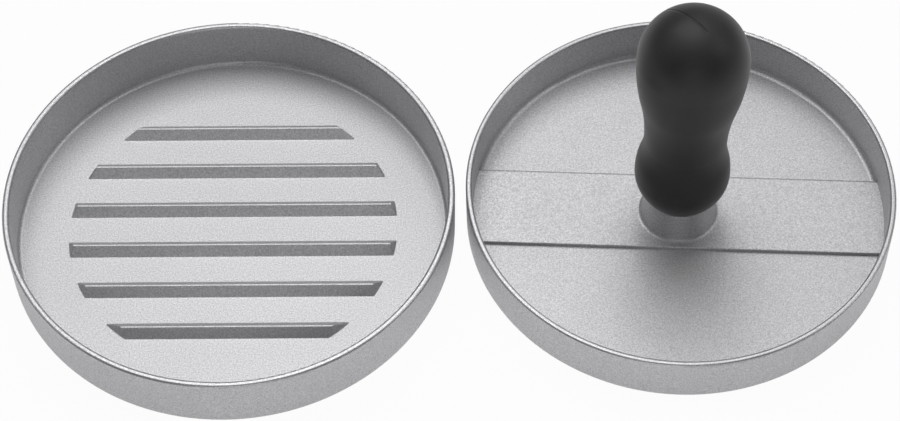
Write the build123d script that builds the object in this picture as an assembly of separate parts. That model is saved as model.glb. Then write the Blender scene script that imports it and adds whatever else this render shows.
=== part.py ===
from build123d import *
from math import tan, radians, cos, sin
import os

# A round cast burger press in two parts, in millimetres.
# The origin is the centre of the tray's underside, +Z up.
# The tray and the press plate stand side by side on one level surface.

# Tray
tray_r = 60.0
tray_height = 20.3
tray_wall = 1.9
tray_floor = 4.6
tray_base_edge = 6.0
tray_corner = 1.0

# Walls of both castings: how far they lean out, and the flat left along a rounded rim
wall_draft_angle = 0.75
rim_flat = 0.3

# Ridges that stand on the tray's floor, in a pattern with a round outline
ridge_count = 6
ridge_pitch = 13.12
ridge_foot_width = 4.9
ridge_top_width = 0.6
ridge_height = 2.35
ridge_field_r = 44.2
ridge_end_angle = 25.0
ridge_top_edge = 0.6
ridge_end_edge = 0.3
ridge_foot_fillet = 0.3

# Press plate, which drops into the tray
press_clearance = 0.5
press_height = 16.2
press_wall = 1.7
press_floor = 3.0
press_base_edge = 3.0
press_corner = 1.4
band_width = 24.3
band_height = 1.1
band_edge = 0.3

# Boss that carries the handle
boss_foot_r = 10.2
boss_top_r = 8.8
boss_height = 9.2
boss_foot_fillet = 1.0
boss_top_edge = 0.5

# Screw between the handle and the boss
thread_r = 4.0
thread_pitch = 1.25
thread_height = 0.767
thread_clearance = 0.06
thread_engagement = 9.2
bore_runout = 0.6
bore_mouth = 0.5
bolt_grip_length = 16.0
bolt_head_flats = 13.0
bolt_head_height = 5.3

# Washer under the handle
washer_r = 6.9
washer_thickness = 1.2
washer_hole_clearance = 0.3
washer_edge = 0.2

# Handle, by height above its foot
handle_length = 68.5
foot_r = 9.2
foot_edge = 0.4
swell_r = 12.7
swell_height = 8.4
waist_r = 10.9
waist_height = 22.2
head_r = 14.4
grip_skin = 2.0

# Where the press plate stands beside the tray, and how far it is turned
stand_gap = 2.9
stand_angle = 2.64
press_turn_angle = -2.64

# Heights and radii that follow
press_r = tray_r - tray_wall - press_clearance
band_top = press_floor + band_height
boss_top = band_top + boss_height
handle_foot = boss_top + washer_thickness
bolt_head_bottom = handle_foot + bolt_grip_length
stand_distance = tray_r + press_r + stand_gap

match_tolerance = 0.01

os.makedirs("parts", exist_ok=True)


def rings(body, radius, height):
    """Full circular edges of one radius at one height about Z."""
    found = []
    for edge in body.edges().filter_by(GeomType.CIRCLE):
        same_radius = abs(edge.radius - radius) < match_tolerance
        same_height = abs(edge.arc_center.Z - height) < match_tolerance
        on_axis = Vector(edge.arc_center.X, edge.arc_center.Y).length < match_tolerance
        if same_radius and same_height and on_axis:
            found.append(edge)
    return found


def turned(corners):
    """Solid turned about Z from (radius, height) corners."""
    section = make_face(Plane.XZ * Polyline(*corners, close=True))
    return revolve(section, Axis.Z)


def dish(rim_r, height, wall, floor, base_edge, corner):
    """Round dish whose wall leans out by the casting draft, with an even wall."""
    lean = tan(radians(wall_draft_angle))
    base_r = rim_r - height * lean
    inner_rim_r = rim_r - wall
    inner_floor_r = inner_rim_r - (height - floor) * lean
    body = turned([
        (0, 0),
        (base_r, 0),
        (rim_r, height),
        (inner_rim_r, height),
        (inner_floor_r, floor),
        (0, floor),
    ])
    body = fillet(rings(body, base_r, 0), base_edge)
    body = fillet(rings(body, inner_floor_r, floor), corner)
    rim = rings(body, rim_r, height) + rings(body, inner_rim_r, height)
    return fillet(rim, (wall - rim_flat) / 2)


def make_ridge(offset):
    """One straight ridge with sloping sides, whose two ends follow the round field."""
    foot = ridge_foot_width / 2
    top = ridge_top_width / 2
    section = make_face(Polyline(
        (-foot, 0), (foot, 0), (top, ridge_height), (-top, ridge_height), close=True
    ))
    section = fillet(section.vertices().group_by(Axis.Y)[-1], ridge_top_edge)
    bar = Pos(0, offset) * extrude(Plane.YZ * section, amount=ridge_field_r, both=True)
    lean = ridge_height * tan(radians(ridge_end_angle))
    field = Cone(
        ridge_field_r,
        ridge_field_r - lean,
        ridge_height,
        align=(Align.CENTER, Align.CENTER, Align.MIN),
    )
    ridge = bar & field
    ends = ridge.faces().filter_by(GeomType.CONE).edges()
    ridge = fillet([edge for edge in ends if edge.center().Z > match_tolerance], ridge_end_edge)
    return Pos(0, 0, tray_floor) * ridge


def level_face(body, height):
    """The largest flat face of a body at one height."""
    level = body.faces().filter_by(Plane.XY)
    level = [face for face in level if abs(face.center().Z - height) < match_tolerance]
    return max(level, key=lambda face: face.area)


def make_tray():
    body = dish(tray_r, tray_height, tray_wall, tray_floor, tray_base_edge, tray_corner)
    for index in range(ridge_count):
        offset = (index - (ridge_count - 1) / 2) * ridge_pitch
        body += make_ridge(offset)
    feet = level_face(body, tray_floor).inner_wires()
    return fillet([edge for foot in feet for edge in foot.edges()], ridge_foot_fillet)


def make_press_plate():
    body = dish(press_r, press_height, press_wall, press_floor, press_base_edge, press_corner)
    inner_r = press_r - press_wall - (press_height - press_floor) * tan(radians(wall_draft_angle))
    band = Rectangle(2 * press_r, band_width) & Circle(inner_r + press_wall / 2)
    band = extrude(Pos(0, 0, press_floor) * band, amount=band_height)
    boss = turned([
        (0, band_top),
        (boss_foot_r, band_top),
        (boss_top_r, boss_top),
        (0, boss_top),
    ])
    body += band
    long_edges = body.edges().filter_by(Axis.X)
    top_edges = [e for e in long_edges if abs(e.center().Z - band_top) < match_tolerance]
    body = fillet(top_edges, band_edge)
    body += boss
    body = fillet(rings(body, boss_foot_r, band_top), boss_foot_fillet)
    body = fillet(rings(body, boss_top_r, boss_top), boss_top_edge)
    bore_r = thread_r + thread_clearance
    bore_depth = thread_engagement + bore_runout
    body -= Pos(0, 0, boss_top - bore_depth) * Cylinder(
        bore_r, bore_depth, align=(Align.CENTER, Align.CENTER, Align.MIN)
    )
    return chamfer(rings(body, bore_r, boss_top), bore_mouth)


def double_arc(low, high):
    """Two equal arcs that leave both ends straight up and meet half way."""
    middle = ((low[0] + high[0]) / 2, (low[1] + high[1]) / 2)
    return TangentArc(low, middle, tangent=(0, 1)) + TangentArc(high, middle, tangent=(0, -1))


def handle_section(inset):
    """Half section of the handle, drawn in by an inset on its sides and top."""
    top = handle_foot + handle_length
    centre = (0, handle_foot)
    foot = (foot_r - inset, handle_foot)
    swell = (swell_r - inset, handle_foot + swell_height)
    waist = (waist_r - inset, handle_foot + waist_height)
    head = (head_r - inset, top - head_r)
    crown = (0, top - inset)
    outline = TangentArc(swell, foot, tangent=(0, -1))
    outline += double_arc(swell, waist)
    outline += double_arc(waist, head)
    outline += TangentArc(head, crown, tangent=(0, 1))
    return make_face(outline + Polyline(crown, centre, foot))


def make_bolt():
    """Hex-headed bolt, head up, with ridges for the thread below the handle."""
    tip = boss_top - thread_engagement
    core_r = thread_r - thread_height
    crest = thread_pitch / 8
    flank = thread_pitch / 2 - crest
    ridge_count = int((handle_foot - tip) / thread_pitch)
    outline = [(0, tip), (core_r, tip)]
    for index in range(ridge_count):
        start = tip + index * thread_pitch
        outline.append((core_r, start + crest))
        outline.append((thread_r, start + crest + flank))
        outline.append((thread_r, start + 2 * crest + flank))
        outline.append((core_r, start + thread_pitch))
    outline.append((core_r, handle_foot))
    outline.append((thread_r, handle_foot))
    outline.append((thread_r, bolt_head_bottom))
    outline.append((0, bolt_head_bottom))
    hexagon = RegularPolygon(bolt_head_flats / 2, 6, major_radius=False)
    head = extrude(Pos(0, 0, bolt_head_bottom) * hexagon, amount=bolt_head_height)
    return turned(outline) + head, head


def make_handle():
    """Rubber grip, hard core and bolt, each moulded round the next."""
    outer = handle_section(0)
    inner = handle_section(grip_skin)
    grip = revolve(Plane.XZ * (outer - inner), Axis.Z)
    grip = fillet(rings(grip, foot_r, handle_foot), foot_edge)
    bolt, bolt_head = make_bolt()
    shank_length = bolt_head_bottom - handle_foot
    shank = Pos(0, handle_foot) * Rectangle(
        thread_r, shank_length, align=(Align.MIN, Align.MIN)
    )
    core = revolve(Plane.XZ * (inner - shank), Axis.Z) - bolt_head
    return grip, core, bolt


def make_washer():
    hole_r = thread_r + washer_hole_clearance
    ring = Circle(washer_r) - Circle(hole_r)
    body = extrude(Pos(0, 0, boss_top) * ring, amount=washer_thickness)
    return fillet(rings(body, washer_r, handle_foot), washer_edge)


def beside_tray(shape):
    """Stand a piece of the press beside the tray."""
    x = stand_distance * cos(radians(stand_angle))
    y = stand_distance * sin(radians(stand_angle))
    return Pos(x, y, 0) * Rot(0, 0, press_turn_angle) * shape


handle_grip, handle_core, handle_bolt = make_handle()
pieces = {
    "tray": make_tray(),
    "press_plate": beside_tray(make_press_plate()),
    "washer": beside_tray(make_washer()),
    "handle_grip": beside_tray(handle_grip),
    "handle_core": beside_tray(handle_core),
    "handle_bolt": beside_tray(handle_bolt),
}
for name, shape in pieces.items():
    export_step(shape, f"parts/{name}.step")
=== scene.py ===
import bpy
import math
from mathutils import Euler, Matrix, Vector


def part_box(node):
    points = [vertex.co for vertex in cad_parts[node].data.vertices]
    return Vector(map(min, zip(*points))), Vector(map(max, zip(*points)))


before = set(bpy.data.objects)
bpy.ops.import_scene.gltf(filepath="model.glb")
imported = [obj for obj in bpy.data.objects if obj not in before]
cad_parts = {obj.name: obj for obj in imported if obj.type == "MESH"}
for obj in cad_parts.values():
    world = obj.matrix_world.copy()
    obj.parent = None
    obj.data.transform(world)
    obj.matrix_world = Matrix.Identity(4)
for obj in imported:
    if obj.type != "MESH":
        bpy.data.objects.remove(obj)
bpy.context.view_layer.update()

# Camera: eye point in metres, angles in degrees, and the photograph's middle and the
# point that the camera looks at in its pixels
photo_width = 900
photo_middle = (449.5, 210.0)
aim_px = (475.1, 210.5)
focal_px = 2534.1
eye = Vector((0.0654, -0.3985, 0.5614))
look_down = 54.03
camera_roll = -0.38
sensor_width = 36.0
camera_near = 0.01

# Rims of the two dishes: wall thickness and radius of the rounded edges
tray_rim = (0.0019, 0.0008)
press_rim = (0.0017, 0.0007)

# Painted shade: a thin dark line painted along the far top edge of the band across the press
# plate, standing in for the shade where the band meets the plate: turn about Z, distance from
# the plate's axis and height
painted_shade_line = (math.radians(2.64), 0.0119, 0.004)
# Width over which the painted shade line fades, and its half height
painted_shade_width = (0.0002, 0.0004)
painted_shade_height = 0.0004

# Mould line on the grip: direction from the handle's axis, width, and where it starts
seam_azimuth = 130
seam_width = 0.0004
seam_start = (-0.004, -0.003)

# Tones, linear
aluminium = (0.62, 0.62, 0.635, 1)
rubber = (0.016, 0.0155, 0.0175, 1)
plastic = (0.028, 0.028, 0.028, 1)
bright_steel = (0.6, 0.6, 0.61, 1)
paper_white = (0.86, 0.86, 0.86, 1)
white = (1, 1, 1, 1)

# Table and world: half the table's side, and the share of its plain white that
# camera and glossy rays see
floor_half = 3.0
seen_white = 0.96
mirrored_white = 0.6
world_strength = 0.02

# Square lamps round the object: azimuth from the back over the right, elevation,
# size and power
softbox_distance = 1.15
softboxes = {
    "back_left_softbox": (-28, 64, 0.8, 3.9),
    "back_right_softbox": (28, 64, 0.8, 2.0),
    "top_softbox": (0, 88, 0.6, 1.3),
    "low_back_softbox": (25, 27, 0.62, 0.6),
    "left_softbox": (-90, 40, 0.62, 0.8),
    "right_softbox": (90, 40, 0.62, 1.6),
    "front_softbox": (180, 22, 0.62, 1.45),
}
aim_height = 0.01

# Noise values lie in this range almost everywhere
noise_low = 0.3
noise_high = 0.7

# Inputs and outputs of the mix node, which share their names
MIX_FACTOR = 0
MIX_VECTORS = (4, 5)
MIX_COLORS = (6, 7)
MIX_VECTOR_RESULT = 1
MIX_COLOR_RESULT = 2


class Shader:
    """A material's node tree, with short calls to add and join nodes."""

    def __init__(self, name):
        self.material = bpy.data.materials.new(name)
        self.material.use_nodes = True
        self.tree = self.material.node_tree
        self.tree.nodes.clear()

    def add(self, kind, **settings):
        node = self.tree.nodes.new("ShaderNode" + kind)
        for key, value in settings.items():
            setattr(node, key, value)
        return node

    def feed(self, node, name, value):
        """Set an input to a plain value, or join another node's output to it."""
        target = node.inputs[name]
        if isinstance(value, bpy.types.NodeSocket):
            self.tree.links.new(value, target)
        else:
            target.default_value = value

    def finish(self, surface):
        """Join a shader to the material's output, and give the material."""
        self.feed(self.add("OutputMaterial"), "Surface", surface)
        return self.material

    def place(self):
        return self.add("TexCoord").outputs["Object"]

    def noise(self, scale, detail=2.0, roughness=0.5):
        node = self.add("TexNoise")
        self.feed(node, "Scale", scale)
        self.feed(node, "Detail", detail)
        self.feed(node, "Roughness", roughness)
        self.feed(node, "Vector", self.place())
        return node.outputs["Fac"]

    def math(self, operation, *values):
        node = self.add("Math", operation=operation)
        for index, value in enumerate(values):
            self.feed(node, index, value)
        return node.outputs[0]

    def vector(self, operation, *values, **named):
        node = self.add("VectorMath", operation=operation)
        for index, value in enumerate(values):
            self.feed(node, index, value)
        for name, value in named.items():
            self.feed(node, name, value)
        return node.outputs["Value" if operation in ("LENGTH", "DOT_PRODUCT") else "Vector"]

    def height(self, vector):
        node = self.add("SeparateXYZ")
        self.feed(node, "Vector", vector)
        return node.outputs["Z"]

    def spread(self, value, low, high, new_low, new_high):
        """Map a value from one range to another, held at the ends."""
        node = self.add("MapRange")
        self.feed(node, "Value", value)
        self.feed(node, "From Min", low)
        self.feed(node, "From Max", high)
        self.feed(node, "To Min", new_low)
        self.feed(node, "To Max", new_high)
        return node.outputs["Result"]

    def speckle(self, noise, at_low, at_high):
        """Map a noise to a range of its own."""
        return self.spread(noise, noise_low, noise_high, at_low, at_high)

    def tint(self, color, tone):
        """A colour times a grey tone."""
        node = self.add("Mix", data_type="RGBA", blend_type="MULTIPLY")
        self.feed(node, MIX_FACTOR, 1.0)
        self.feed(node, MIX_COLORS[0], color)
        self.feed(node, MIX_COLORS[1], tone)
        return node.outputs[MIX_COLOR_RESULT]

    def bump(self, height, strength, distance, normal=None):
        node = self.add("Bump")
        self.feed(node, "Strength", strength)
        self.feed(node, "Distance", distance)
        self.feed(node, "Height", height)
        if normal:
            self.feed(node, "Normal", normal)
        return node.outputs["Normal"]

    def seam(self, axis):
        """One on a mould line that runs out from an upright axis on one side, else zero."""
        turn = math.radians(seam_azimuth)
        offset = self.vector("SUBTRACT", self.place(), axis)
        reach = self.vector("DOT_PRODUCT", offset, (math.cos(turn), math.sin(turn), 0))
        side = self.vector("DOT_PRODUCT", offset, (-math.sin(turn), math.cos(turn), 0))
        gap = self.math("ABSOLUTE", side)
        line = self.spread(gap, seam_width / 2, seam_width, 1, 0)
        return self.math("MULTIPLY", line, self.spread(reach, *seam_start, 0, 1))

    def rim(self, axis, outer_r, height, wall, edge):
        """Exact normal of a rounded rim, so that its highlight runs evenly round the
        circle, and a mask that is one on the rim."""
        offset = self.vector("SUBTRACT", self.place(), axis)
        flat = self.vector("MULTIPLY", offset, (1, 1, 0))
        side = self.math("SUBTRACT", self.vector("LENGTH", flat), outer_r - wall / 2)
        past = self.math("SUBTRACT", self.math("ABSOLUTE", side), wall / 2 - edge)
        lean = self.math("MULTIPLY", self.math("SIGN", side), self.math("MAXIMUM", past, 0))
        rise = self.math("SUBTRACT", self.height(offset), height - edge)
        up = self.add("CombineXYZ")
        self.feed(up, "Z", rise)
        out = self.vector("SCALE", self.vector("NORMALIZE", flat), Scale=lean)
        exact = self.vector("NORMALIZE", self.vector("ADD", out, up.outputs["Vector"]))
        world = self.add(
            "VectorTransform", vector_type="NORMAL", convert_from="OBJECT", convert_to="WORLD"
        )
        self.feed(world, "Vector", exact)
        mask = self.math("GREATER_THAN", rise, 0.0)
        pick = self.add("Mix", data_type="VECTOR")
        self.feed(pick, MIX_FACTOR, mask)
        self.feed(pick, MIX_VECTORS[0], self.add("NewGeometry").outputs["Normal"])
        self.feed(pick, MIX_VECTORS[1], world.outputs["Vector"])
        return pick.outputs[MIX_VECTOR_RESULT], mask

    def painted_band_shade(self, axis, turn, reach, level):
        """One on the far top edge of the band across the press plate, else zero: the mask of
        a painted shade line.
        """
        offset = self.vector("SUBTRACT", self.place(), axis)
        along = self.vector("DOT_PRODUCT", offset, (math.sin(turn), math.cos(turn), 0))
        gap = self.math("ABSOLUTE", self.math("SUBTRACT", along, reach))
        rise = self.math("ABSOLUTE", self.math("SUBTRACT", self.height(offset), level))
        line = self.spread(gap, *painted_shade_width, 1, 0)
        return self.math("MULTIPLY", line, self.math("LESS_THAN", rise, painted_shade_height))

    def surface(self, color, metallic, roughness, normal, **plain):
        shader = self.add("BsdfPrincipled")
        self.feed(shader, "Base Color", color)
        self.feed(shader, "Metallic", metallic)
        self.feed(shader, "Roughness", roughness)
        self.feed(shader, "Normal", normal)
        for name, value in plain.items():
            self.feed(shader, name.replace("_", " "), value)
        return self.finish(shader.outputs[0])


def coated_aluminium(node_name, rim, painted_shade_place=None):
    """Silver coating with a fine sandy grain over a cast dish, worn smoother on its rim, and
    with a painted shade line along the band's far top edge where one is given.
    """
    low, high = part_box(node_name)
    axis = ((low.x + high.x) / 2, (low.y + high.y) / 2, 0)
    s = Shader("coated_aluminium")
    grain = s.noise(2600, roughness=0.6)
    cast = s.noise(160, detail=3.0)
    cloud = s.noise(28)
    tone = s.math("MULTIPLY", s.speckle(grain, 0.78, 1.22), s.speckle(cloud, 0.985, 1.015))
    # Painted shade: the colour is darkened to 0.6 in a thin line along the band's far top
    # edge
    if painted_shade_place:
        line = s.painted_band_shade(axis, *painted_shade_place)
        tone = s.math("MULTIPLY", tone, s.spread(line, 0, 1, 1.0, 0.6))
    normal, on_rim = s.rim(axis, (high.x - low.x) / 2, high.z, *rim)
    worn = s.spread(on_rim, 0, 1, 1.0, 0.8)
    rough = s.math("MULTIPLY", s.speckle(grain, 0.58, 0.44), worn)
    normal = s.bump(cast, 0.25, 0.00008, normal)
    normal = s.bump(grain, 0.35, 0.00005, normal)
    return s.surface(s.tint(aluminium, tone), 0.85, rough, normal)


def grip_rubber():
    """Soft matt black with a fine grain and the line that the mould left."""
    low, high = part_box("handle_grip")
    s = Shader("grip_rubber")
    fine = s.noise(3500)
    cloud = s.noise(70, detail=3.0)
    seam = s.seam((low + high) / 2)
    tone = s.math("MULTIPLY", s.speckle(cloud, 0.85, 1.15), s.speckle(fine, 0.8, 1.2))
    tone = s.math("MULTIPLY", tone, s.spread(seam, 0, 1, 1.0, 0.45))
    rough = s.speckle(cloud, 0.46, 0.56)
    normal = s.bump(fine, 0.5, 0.00005)
    normal = s.bump(s.math("SUBTRACT", 1.0, seam), 0.8, 0.0003, normal)
    color = s.tint(rubber, tone)
    return s.surface(color, 0.0, rough, normal, Sheen_Weight=0.24, Sheen_Roughness=0.45)


def hard_plastic():
    s = Shader("hard_plastic")
    fine = s.noise(900, detail=3.0)
    color = s.tint(plastic, s.speckle(fine, 0.9, 1.1))
    return s.surface(color, 0.0, 0.45, s.bump(fine, 0.1, 0.00005))


def steel():
    s = Shader("steel")
    fine = s.noise(1500, detail=3.0)
    color = s.tint(bright_steel, s.speckle(fine, 0.9, 1.05))
    rough = s.speckle(fine, 0.25, 0.38)
    return s.surface(color, 1.0, rough, s.bump(fine, 0.1, 0.00003))


def dress():
    """Give each piece its material."""
    steel_finish = steel()
    finishes = {
        "tray": coated_aluminium("tray", tray_rim),
        # The press plate carries the painted shade line along its band
        "press_plate": coated_aluminium("press_plate", press_rim, painted_shade_line),
        "washer": steel_finish,
        "handle_grip": grip_rubber(),
        "handle_core": hard_plastic(),
        "handle_bolt": steel_finish,
    }
    for name, finish in finishes.items():
        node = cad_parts[name]
        node.data.materials.clear()
        node.data.materials.append(finish)


def make_floor():
    """White table. Camera and glossy rays see it nearly white, and it keeps a soft shadow."""
    low, high = -floor_half, floor_half
    mesh = bpy.data.meshes.new("floor")
    corners = [(low, low, 0), (high, low, 0), (high, high, 0), (low, high, 0)]
    mesh.from_pydata(corners, [], [(0, 1, 2, 3)])
    floor = bpy.data.objects.new("floor", mesh)
    bpy.context.scene.collection.objects.link(floor)
    s = Shader("floor_white")
    paper = s.add("BsdfDiffuse")
    s.feed(paper, "Color", paper_white)
    glow = s.add("Emission")
    s.feed(glow, "Color", white)
    s.feed(glow, "Strength", 1.0)
    path = s.add("LightPath")
    seen = s.math("MULTIPLY", path.outputs["Is Camera Ray"], seen_white)
    mirrored = s.math("MULTIPLY", path.outputs["Is Glossy Ray"], mirrored_white)
    mix = s.add("MixShader")
    s.feed(mix, 0, s.math("ADD", seen, mirrored))
    s.feed(mix, 1, paper.outputs[0])
    s.feed(mix, 2, glow.outputs[0])
    mesh.materials.append(s.finish(mix.outputs[0]))


def make_softbox(name, target, azimuth, elevation, size, power):
    """Square lamp that faces a point."""
    turn = math.radians(azimuth)
    rise = math.radians(elevation)
    away = Vector((
        math.sin(turn) * math.cos(rise),
        math.cos(turn) * math.cos(rise),
        math.sin(rise),
    ))
    data = bpy.data.lights.new(name, "AREA")
    data.shape = "SQUARE"
    data.size = size
    data.energy = power
    lamp = bpy.data.objects.new(name, data)
    lamp.location = target + away * softbox_distance
    lamp.rotation_euler = (-away).to_track_quat("-Z", "Y").to_euler()
    bpy.context.scene.collection.objects.link(lamp)


def make_lights():
    """Softboxes that face a point between the tray and the press plate."""
    press_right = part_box("press_plate")[1].x
    target = Vector((press_right / 3, 0, aim_height))
    for name, place in softboxes.items():
        make_softbox(name, target, *place)


def make_world():
    world = bpy.data.worlds.new("studio")
    world.use_nodes = True
    background = world.node_tree.nodes["Background"]
    background.inputs["Color"].default_value = white
    background.inputs["Strength"].default_value = world_strength
    bpy.context.scene.world = world


def make_camera():
    data = bpy.data.cameras.new("camera")
    data.sensor_width = sensor_width
    data.lens = focal_px / photo_width * sensor_width
    data.shift_x = (photo_middle[0] - aim_px[0]) / photo_width
    data.shift_y = (aim_px[1] - photo_middle[1]) / photo_width
    data.clip_start = camera_near
    camera = bpy.data.objects.new("camera", data)
    camera.location = eye
    turn = Euler((math.radians(90 - look_down), 0, 0)).to_matrix()
    roll = Euler((0, 0, math.radians(camera_roll))).to_matrix()
    camera.rotation_euler = (turn @ roll).to_euler()
    bpy.context.scene.collection.objects.link(camera)
    bpy.context.scene.camera = camera


dress()
make_floor()
make_world()
make_lights()
make_camera()

scene = bpy.context.scene
scene.view_settings.view_transform = "Standard"
